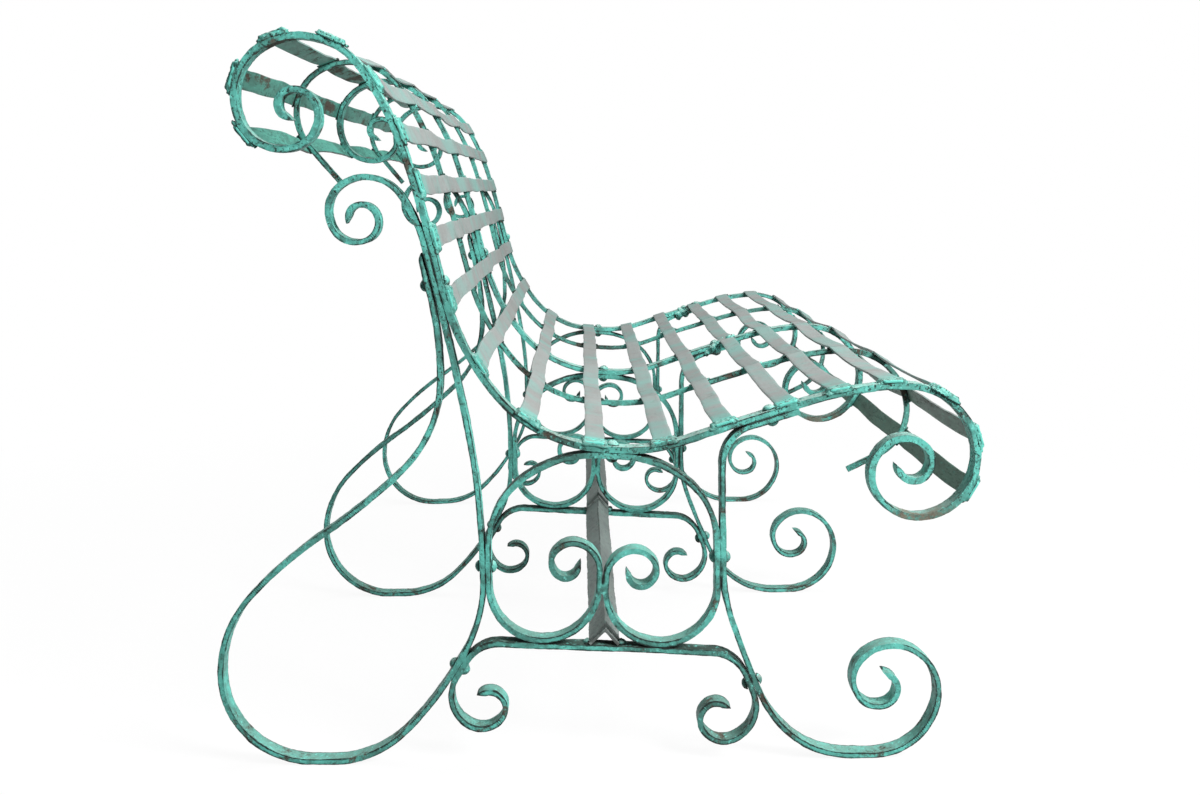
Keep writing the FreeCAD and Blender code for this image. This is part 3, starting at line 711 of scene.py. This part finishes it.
def between(tree, value, low, high, to_low=0.0, to_high=1.0):
    """Where a value lies between low and high, eased and clamped."""
    made = add(tree, "ShaderNodeMapRange", {"Value": value, "From Min": low, "From Max": high,
                                            "To Min": to_low, "To Max": to_high},
               interpolation_type="SMOOTHSTEP")
    return made.outputs["Result"]


def combined(tree, operation, *values):
    """One value worked out from others."""
    return add(tree, "ShaderNodeMath", dict(enumerate(values)), operation=operation).outputs["Value"]


def times(tree, first, second):
    """Product of two values."""
    return combined(tree, "MULTIPLY", first, second)


def plus(tree, first, second):
    """Sum of two values."""
    return combined(tree, "ADD", first, second)


def minus(tree, first, second):
    """Difference of two values."""
    return combined(tree, "SUBTRACT", first, second)


def largest(tree, first, second):
    """The larger of two values."""
    return combined(tree, "MAXIMUM", first, second)


def blend(tree, share, under, over):
    """Colour over another by a share; a mix of colours has these inputs and this output by number."""
    made = add(tree, "ShaderNodeMix", data_type="RGBA")
    for index, value in ((0, share), (6, under), (7, over)):
        put(tree, value, made.inputs[index])
    return made.outputs[2]


def object_place(tree):
    """The bench's own coordinates, and each of them."""
    place = add(tree, "ShaderNodeTexCoord").outputs["Object"]
    return place, add(tree, "ShaderNodeSeparateXYZ", {"Vector": place}).outputs


def colour(red, green, blue):
    """A colour as seen on a screen, 0 to 255, as the renderer's linear values."""
    linear = []
    for value in (red, green, blue):
        share = value / 255.0
        linear.append(share / 12.92 if share <= 0.04045 else ((share + 0.055) / 1.055) ** 2.4)
    return (*linear, 1.0)


# %% Amounts in the old paint
STAIN = colour(48, 66, 60)
GRIME = colour(54, 58, 53)
# Bare iron shows in pits and worn edges; the same dark colour is painted shade in inner corners.
BARE_IRON_AND_SHADE = colour(28, 32, 29)
WORN_DEPTH = 0.5
# Each noise: bumps per metre, detail and roughness.
NOISES = {
    "broad": (6.5, 3.0, 0.55),
    "mottle": (75.0, 6.0, 0.68),
    "grain": (290.0, 4.0, 0.6),
    "stains": (15.0, 6.0, 0.66),
    "flecks": (190.0, 3.0, 0.6),
    "blotches": (30.0, 7.0, 0.7),
    "strips": (19.0, 6.0, 0.62),
}
# Each range: where an effect begins and where it is full, and its amounts there if not 0 and 1.
RANGES = {
    "dull patches": (0.42, 0.64, 0.0, 0.85),
    "less dull on the back": (0.46, 0.62, 1.0, 0.45),
    "mottled": (0.44, 0.68, 0.0, 0.75),
    "stained": (0.53, 0.65, 0.0, 0.75),
    "towards the sky": (0.15, 0.95),
    "bleached clouds": (0.25, 0.6, 0.55, 1.0),
    "upper face": (0.25, 0.7),
    "above the grime height": (0.0, 0.03),
    "grimy clouds": (0.62, 0.50, 0.3, 0.85),
    "flecked": (0.58, 0.68, 0.0, 0.6),
    "towards the floor": (-0.9, 0.3, 0.13, 0.0),
    "near the floor": (0.0, 0.16, 0.09, 0.0),
    "rusted": (0.62, 0.71),
    "pitted": (0.54, 0.62),
    "clusters of pits": (0.39, 0.55),
    "fewer on the legs": (0.28, 0.44, 0.45, 1.0),
    "sharp edges": (0.516, 0.554),
    "worn strips": (0.45, 0.56),
    "shaded inner corners": (0.485, 0.44),
    "rough where worn": (0.0, 1.0, 0.5, 0.85),
}
GROUP_INPUTS = {
    "NodeSocketVector": ("Place", "Facing"),
    "NodeSocketColor": ("Paint", "Shade", "Bleached", "Fresh", "Rust"),
    "NodeSocketFloat": ("Sharpness", "Bleaching", "Rusting", "Spread", "Pitting", "Grime"),
}
GROUP_OUTPUTS = {"Colour": "NodeSocketColor", "Roughness": "NodeSocketFloat", "Height": "NodeSocketFloat"}
print("noises and ranges of the old paint:", len(NOISES), len(RANGES))


# %% The old paint group
def old_paint_group():
    """Node group of the weathered paint."""
    group = bpy.data.node_groups.new("old_paint", "ShaderNodeTree")
    for kind, names in GROUP_INPUTS.items():
        for name in names:
            group.interface.new_socket(name, in_out="INPUT", socket_type=kind)
    for name, kind in GROUP_OUTPUTS.items():
        group.interface.new_socket(name, in_out="OUTPUT", socket_type=kind)
    given = add(group, "NodeGroupInput").outputs
    place = given["Place"]
    up = add(group, "ShaderNodeSeparateXYZ", {"Vector": given["Facing"]}).outputs["Z"]
    above_floor = add(group, "ShaderNodeSeparateXYZ", {"Vector": place}).outputs["Z"]
    noises = {name: noise_value(group, place, *amounts) for name, amounts in NOISES.items()}

    def within(value, name):
        """Where a value lies in one of the ranges above."""
        return between(group, value, *RANGES[name])

    # Bright and dull stretches change over a hand's breadth, the back is the brighter part, and smaller
    # clouds lie on them.
    on_back = within(above_floor, "less dull on the back")
    dull = times(group, within(noises["broad"], "dull patches"), on_back)
    shown = blend(group, dull, given["Paint"], given["Shade"])
    shown = blend(group, within(noises["mottle"], "mottled"), shown, given["Shade"])

    # Old stains darken the paint here and there.
    stains = times(group, within(noises["stains"], "stained"), given["Pitting"])
    shown = blend(group, stains, shown, STAIN)

    # The sky side bleaches in uneven clouds.
    sky = times(group, within(up, "towards the sky"), within(noises["mottle"], "bleached clouds"))
    shown = blend(group, times(group, sky, given["Bleaching"]), shown, given["Bleached"])

    # Bars under the seat keep dark grime on their upper faces, from the Grime height upwards.
    over = minus(group, above_floor, given["Grime"])
    grime = times(group, within(up, "upper face"), within(over, "above the grime height"))
    grime = times(group, grime, within(noises["mottle"], "grimy clouds"))
    shown = blend(group, grime, shown, GRIME)

    # Small flecks keep the first bright coat.
    shown = blend(group, within(noises["flecks"], "flecked"), shown, given["Fresh"])

    # Rust gathers in blotches, more of them where a face looks down or the floor is near.
    low_side = within(up, "towards the floor")
    wet = within(above_floor, "near the floor")
    lifted = plus(group, plus(group, noises["blotches"], low_side), plus(group, wet, given["Spread"]))
    rust = times(group, within(lifted, "rusted"), given["Rusting"])
    shown = blend(group, rust, shown, given["Rust"])

    # Dark pits sit in clusters, fewer of them on the legs; edges are worn in long strips, and inner
    # corners get painted shade in the same dark colour.
    pits = times(group, within(noises["grain"], "pitted"), within(noises["blotches"], "clusters of pits"))
    pits = times(group, pits, within(above_floor, "fewer on the legs"))
    strips = within(plus(group, noises["strips"], wet), "worn strips")
    chipped = times(group, within(given["Sharpness"], "sharp edges"), strips)
    corner_shade = within(given["Sharpness"], "shaded inner corners")
    worn_off_and_corner_shade = largest(group, largest(group, pits, chipped), corner_shade)
    worn_off_and_corner_shade = times(group, worn_off_and_corner_shade, given["Pitting"])
    shown = blend(group, worn_off_and_corner_shade, shown, BARE_IRON_AND_SHADE)

    worn = largest(group, rust, worn_off_and_corner_shade)
    rough = within(worn, "rough where worn")
    high = minus(group, noises["mottle"], times(group, worn, WORN_DEPTH))
    add(group, "NodeGroupOutput", {"Colour": shown, "Roughness": rough, "Height": high})
    return group


old_paint = old_paint_group()
print("nodes in the paint group:", len(old_paint.nodes))

# %% Materials made with the paint group
SHEEN = 0.35
BUMP_DEPTH = 0.001
# Painted shade darkens the colour where another surface is as close as this, as under a strap or round a
# rivet.
HOLLOW = 0.010
HOLLOW_SAMPLES = 8
HOLLOW_SHADE_RANGE = (0.62, 0.25, 0.0, 0.85)
HOLLOW_SHADE_COLOUR = colour(30, 34, 31)


def painted(name, bump, stretch=1.0, **amounts):
    """Material of old paint with painted shade in hollows, its marks drawn out along the bench; with
    tree, shader and colour.
    """
    material = bpy.data.materials.new(name)
    material.use_nodes = True
    tree = material.node_tree
    shader = tree.nodes["Principled BSDF"]
    shader.inputs["Specular IOR Level"].default_value = SHEEN
    place = add(tree, "ShaderNodeTexCoord").outputs["Object"]
    place = add(tree, "ShaderNodeVectorMath", {0: place, 1: (1.0 / stretch, 1.0, 1.0)},
                operation="MULTIPLY").outputs["Vector"]
    geometry = add(tree, "ShaderNodeNewGeometry")
    coat = add(tree, "ShaderNodeGroup", node_tree=old_paint)
    for amount, value in amounts.items():
        coat.inputs[amount.capitalize()].default_value = value
    tree.links.new(place, coat.inputs["Place"])
    tree.links.new(geometry.outputs["Normal"], coat.inputs["Facing"])
    tree.links.new(geometry.outputs["Pointiness"], coat.inputs["Sharpness"])
    dents = add(tree, "ShaderNodeBump", {"Height": coat.outputs["Height"], "Strength": bump,
                                         "Distance": BUMP_DEPTH})
    # Painted shade: the colour is darkened where the occlusion node finds another surface close by.
    open_to_air = add(tree, "ShaderNodeAmbientOcclusion", {"Distance": HOLLOW}, samples=HOLLOW_SAMPLES)
    hollow_shade = between(tree, open_to_air.outputs["AO"], *HOLLOW_SHADE_RANGE)
    shown = blend(tree, hollow_shade, coat.outputs["Colour"], HOLLOW_SHADE_COLOUR)
    tree.links.new(shown, shader.inputs["Base Color"])
    tree.links.new(coat.outputs["Roughness"], shader.inputs["Roughness"])
    tree.links.new(dents.outputs["Normal"], shader.inputs["Normal"])
    return material, tree, shader, shown


# %% Turquoise paints of frames, welds and rods
TURQUOISE = colour(102, 198, 184)
BAR_BUMP = 0.6
ROD_BUMP = 0.7
# Heights above which the upper faces of the bars under the seat are grimy.
NO_GRIME = 9.0
GRIME_FROM = {"ring_scroll": 0.31, "front_leg": 0.36, "lower_stretcher": 0.10, "rear_leg": NO_GRIME}
HIGH_COAT = dict(
    paint=TURQUOISE, shade=colour(68, 114, 105), bleached=colour(160, 184, 176),
    fresh=colour(130, 228, 215), rust=colour(84, 70, 60),
    bleaching=0.72, rusting=0.9, spread=0.0, pitting=0.95)
LOW_COAT = dict(HIGH_COAT, bleached=colour(122, 160, 149))
WELD_COAT = dict(
    HIGH_COAT, paint=colour(92, 182, 168), bleached=colour(138, 168, 160), fresh=colour(116, 208, 195),
    bleaching=0.5)

frame_paint = painted("frame_turquoise", BAR_BUMP, grime=NO_GRIME, **HIGH_COAT)[0]
weld_paint = painted("weld_turquoise", BAR_BUMP, grime=NO_GRIME, **WELD_COAT)[0]
low_paints = {}
for bar_name, height in GRIME_FROM.items():
    low_paints[bar_name] = painted(bar_name + "_paint", BAR_BUMP, grime=height, **LOW_COAT)[0]
rod_paint = painted(
    "rod_rusty_turquoise", ROD_BUMP, paint=colour(92, 180, 166), shade=colour(70, 112, 103),
    bleached=colour(130, 160, 152), fresh=colour(122, 212, 199), rust=colour(82, 70, 60),
    bleaching=0.4, rusting=0.95, spread=0.06, pitting=0.95, grime=NO_GRIME)[0]
print("paints of the bars under the seat:", list(low_paints))

# %% Paints of the angle irons and of the straps' undersides
LONG_BUMP = 0.5
LONG_MARKS = 3.0

under_paint = painted(
    "strap_underside", LONG_BUMP, LONG_MARKS,
    paint=colour(96, 178, 161), shade=colour(72, 120, 107), bleached=colour(108, 160, 148),
    fresh=colour(112, 194, 180), rust=colour(104, 82, 72),
    bleaching=0.3, rusting=0.9, spread=0.015, pitting=0.5, grime=NO_GRIME)[0]
# Painted shade: a greyer, darker copy of the underside paint, where the front curl turns its underside
# from the light.
shaded_front_under_paint = painted(
    "strap_underside_front", LONG_BUMP, LONG_MARKS,
    paint=colour(116, 146, 132), shade=colour(92, 106, 97), bleached=colour(120, 140, 131),
    fresh=colour(112, 170, 156), rust=colour(96, 82, 73),
    bleaching=0.3, rusting=0.8, spread=0.0, pitting=0.5, grime=NO_GRIME)[0]
iron_paint = painted(
    "angle_iron_grey", LONG_BUMP, LONG_MARKS,
    paint=colour(136, 148, 144), shade=colour(114, 119, 117), bleached=colour(148, 155, 152),
    fresh=colour(130, 162, 154), rust=colour(92, 86, 80),
    bleaching=0.3, rusting=0.7, spread=-0.02, pitting=0.6, grime=NO_GRIME)[0]
print("paints with long marks:", under_paint.name, shaded_front_under_paint.name, iron_paint.name)

# %% [markdown]
# ## Marks that belong to one place
# Some marks are not all over the paint: rust where water drips from the front curl, turquoise round the
# near ends of the grey straps, and lines where a strap was bent. They could be painted by hand on an
# image, but a mask worked out from the bench's own coordinates stays sharp at any distance. So each
# mark is such a mask, and it lies over the colour that the paint group gives.

# %% Rust on the rails' front curl
# Water hangs at the lowest part of a rail, under its front curl, and has turned the paint there brown.
DRIP_FROM = 0.024
DRIP_FULL = 0.006
DRIP_NOISE = (55.0, 6.0, 0.70)
DRIP_CLOUDS = (0.40, 0.58, 0.0, 0.85)
DRIP_BROWN = colour(120, 105, 90)
lowest = min(point.z for point in rail_points)

rail_paint, tree, shader, shown = painted("rail_turquoise", BAR_BUMP, grime=NO_GRIME, **HIGH_COAT)
place, axes = object_place(tree)
hanging = between(tree, axes["Z"], lowest + DRIP_FROM, lowest + DRIP_FULL)
drip = times(tree, hanging, between(tree, noise_value(tree, place, *DRIP_NOISE), *DRIP_CLOUDS))
tree.links.new(blend(tree, drip, shown, DRIP_BROWN), shader.inputs["Base Color"])
print("lowest point of a rail: %.3f" % lowest)

# %% Tints on the straps' upper face
# Pale grey paint with thin clouds of turquoise, more of them in the last hand's breadth before the near
# welds, and full turquoise at the welds.
STRAP_BUMP = 0.3
CLOUDY = (16.0, 5.0, 0.6)
CLOUD_TINT = (0.46, 0.66, 0.0, 0.55)
WASHED = (4.5, 3.0, 0.6)
WASH_TINT = (0.50, 0.66, 0.0, 0.6)
NEAR_END = (-0.64, -0.735)
NEAR_TINT = (0.36, 0.60, 0.2, 0.75)
RAGGED = (120.0, 3.0, 0.6)
RAGGED_REACH = 0.02
WELDED = (-0.718, -0.734)

strap_paint, tree, shader, grey_with_hollow_shade = painted(
    "strap_pale_grey", STRAP_BUMP, paint=colour(144, 150, 148), shade=colour(133, 130, 128),
    bleached=colour(148, 153, 151), fresh=colour(142, 160, 157), rust=colour(116, 106, 100),
    bleaching=0.5, rusting=0.55, spread=0.025, pitting=0.16, grime=NO_GRIME)
place, axes = object_place(tree)
along = axes["X"]
cloudy = noise_value(tree, place, *CLOUDY)
washed = noise_value(tree, place, *WASHED)
tinted = blend(tree, between(tree, cloudy, *CLOUD_TINT), grey_with_hollow_shade, colour(116, 164, 156))
tinted = blend(tree, between(tree, washed, *WASH_TINT), tinted, colour(122, 168, 160))
near_tint = times(tree, between(tree, along, *NEAR_END), between(tree, cloudy, *NEAR_TINT))
tinted = blend(tree, near_tint, tinted, colour(112, 174, 164))
ragged = noise_value(tree, place, *RAGGED)
shifted = combined(tree, "MULTIPLY_ADD", ragged, RAGGED_REACH, along)
finished = blend(tree, between(tree, shifted, *WELDED), tinted, TURQUOISE)
print("nodes in the straps' paint so far:", len(tree.nodes))

# %% Lines across the straps' upper face
# Fine lines show where a strap has been bent and straightened, and creases where it leaves a bar.
BENDS_PER_METRE = 7.0
BEND_DRIFT = 9.0
BEND_LINE = (0.012, 0.002)
BEND_CLOUDS = (0.40, 0.58, 0.0, 0.5)
BEND_GREY = colour(96, 102, 98)
CREASE_LINE = (0.0022, 0.0004)
CREASE_CLOUDS = (0.38, 0.60, 0.0, 0.7)
CREASE_GREY = colour(92, 98, 95)

step = combined(tree, "MULTIPLY_ADD", along, BENDS_PER_METRE, times(tree, washed, BEND_DRIFT))
bends = add(tree, "ShaderNodeTexVoronoi", {"W": step, "Scale": 1.0},
            voronoi_dimensions="1D", feature="DISTANCE_TO_EDGE").outputs["Distance"]
line = times(tree, between(tree, bends, *BEND_LINE), between(tree, cloudy, *BEND_CLOUDS))
finished = blend(tree, line, finished, BEND_GREY)
for carrier, half in CARRIERS[1:]:
    apart = combined(tree, "ABSOLUTE", minus(tree, along, carrier))
    from_edge = combined(tree, "ABSOLUTE", minus(tree, apart, half))
    crease = times(tree, between(tree, from_edge, *CREASE_LINE), between(tree, cloudy, *CREASE_CLOUDS))
    finished = blend(tree, crease, finished, CREASE_GREY)
tree.links.new(finished, shader.inputs["Base Color"])
print("nodes in the straps' paint:", len(tree.nodes))

# %% [markdown]
# ## Painting the pieces
# Frames, rods, rivets and welds are turquoise, the angle irons are grey, and a strap is pale above and
# turquoise below. A paint could be chosen piece by piece, but the name of a piece already says what kind
# of bar it is, so the paint is looked up by that kind.

# %% Paint the bench
# Straps that lie further to the front than this get an underside with painted shade, greyer and darker.
FRONT_BEFORE = -0.30
welds = [near_welds, rod_welds, rail_welds, iron_welds, lap_welds]
kind_paints = dict(low_paints, profile_rail=rail_paint, profile_rod=rod_paint)
for piece in frame_bars + rods + rivets + welds:
    kind = piece.name.removeprefix("forged_").rpartition("_")[0]
    paint = weld_paint if piece == near_welds else kind_paints.get(kind, frame_paint)
    piece.data.materials.append(paint)
for piece in irons:
    piece.data.materials.append(iron_paint)
for piece in straps:
    piece.data.materials[0] = strap_paint
    in_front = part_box(piece.name.removeprefix("bent_"))[0].y < FRONT_BEFORE
    piece.data.materials[1] = shaded_front_under_paint if in_front else under_paint
print("materials:", len(bpy.data.materials))

# %% [markdown]
# ## Floor and light
# The photo shows the bench cut out on white, lit from its front and from the camera's side, so faces
# that look to the back are dark. One broad key lamp stands there, one hangs above, and a weak lamp
# behind and a low even glow from all round fill the shadows. The floor is white to the camera and fades
# into the white world with distance, but stays dull for the light that it throws back under the bench.

# %% Lay the floor
FLOOR_SIZE = 60.0
FLOOR_DROP = 0.0005
FLOOR_ROUGHNESS = 0.9
FLOOR_DULL = (0.10, 0.10, 0.10, 1.0)
FLOOR_PALE = (0.92, 0.92, 0.92, 1.0)
FLOOR_GLOW = 0.93
SHADOW_FADES_FROM = 0.7
SHADOW_FADES_TO = 2.2
WHITE = (1.0, 1.0, 1.0, 1.0)

bpy.ops.object.select_all(action="DESELECT")
bpy.ops.mesh.primitive_plane_add(size=FLOOR_SIZE, location=(0.0, 0.0, -FLOOR_DROP))
floor = bpy.context.object
floor.name = "studio_floor"
floor_paint = bpy.data.materials.new("pale_floor")
floor_paint.use_nodes = True
tree = floor_paint.node_tree
shader = tree.nodes["Principled BSDF"]
shader.inputs["Roughness"].default_value = FLOOR_ROUGHNESS
rays = add(tree, "ShaderNodeLightPath").outputs
seen = largest(tree, rays["Is Camera Ray"], rays["Is Glossy Ray"])
seen = largest(tree, seen, rays["Is Transmission Ray"])
tree.links.new(blend(tree, seen, FLOOR_DULL, FLOOR_PALE), shader.inputs["Base Color"])
glow = add(tree, "ShaderNodeEmission", {"Color": WHITE, "Strength": 1.0})
place = add(tree, "ShaderNodeTexCoord").outputs["Object"]
distance = add(tree, "ShaderNodeVectorMath", {0: place}, operation="LENGTH").outputs["Value"]
share = times(tree, seen, between(tree, distance, SHADOW_FADES_FROM, SHADOW_FADES_TO, FLOOR_GLOW, 1.0))
mixed = add(tree, "ShaderNodeMixShader",
            {0: share, 1: shader.outputs["BSDF"], 2: glow.outputs["Emission"]})
tree.links.new(mixed.outputs["Shader"], tree.nodes["Material Output"].inputs["Surface"])
floor.data.materials.append(floor_paint)
print("floor:", floor.name)

# %% Light the bench
WORLD_GLOW = 0.060
LAMPS_AIM = Vector((0.0, 0.0, 0.4))
# Each lamp: place, size and watts.
LAMPS = {
    "front_softbox": ((-2.6, -2.4, 2.5), 1.6, 246.0),
    "overhead_softbox": ((0.2, -0.4, 3.2), 2.4, 80.0),
    "back_softbox": ((1.6, 3.0, 2.0), 2.0, 26.0),
}

world = bpy.data.worlds.new("white_studio")
bpy.context.scene.world = world
world.use_nodes = True
tree = world.node_tree
dim = tree.nodes["Background"]
dim.inputs["Color"].default_value = WHITE
dim.inputs["Strength"].default_value = WORLD_GLOW
white = add(tree, "ShaderNodeBackground", {"Color": WHITE, "Strength": 1.0})
rays = add(tree, "ShaderNodeLightPath").outputs
seen = largest(tree, rays["Is Camera Ray"], rays["Is Transmission Ray"])
mixed = add(tree, "ShaderNodeMixShader",
            {0: seen, 1: dim.outputs["Background"], 2: white.outputs["Background"]})
tree.links.new(mixed.outputs["Shader"], tree.nodes["World Output"].inputs["Surface"])
for name, (place, size, watts) in LAMPS.items():
    bpy.ops.object.light_add(type="AREA", location=place)
    lamp = bpy.context.object
    lamp.name = name
    lamp.data.size = size
    lamp.data.energy = watts
    lamp.rotation_euler = (LAMPS_AIM - Vector(place)).to_track_quat("-Z", "Y").to_euler()
print("lamps:", list(LAMPS))
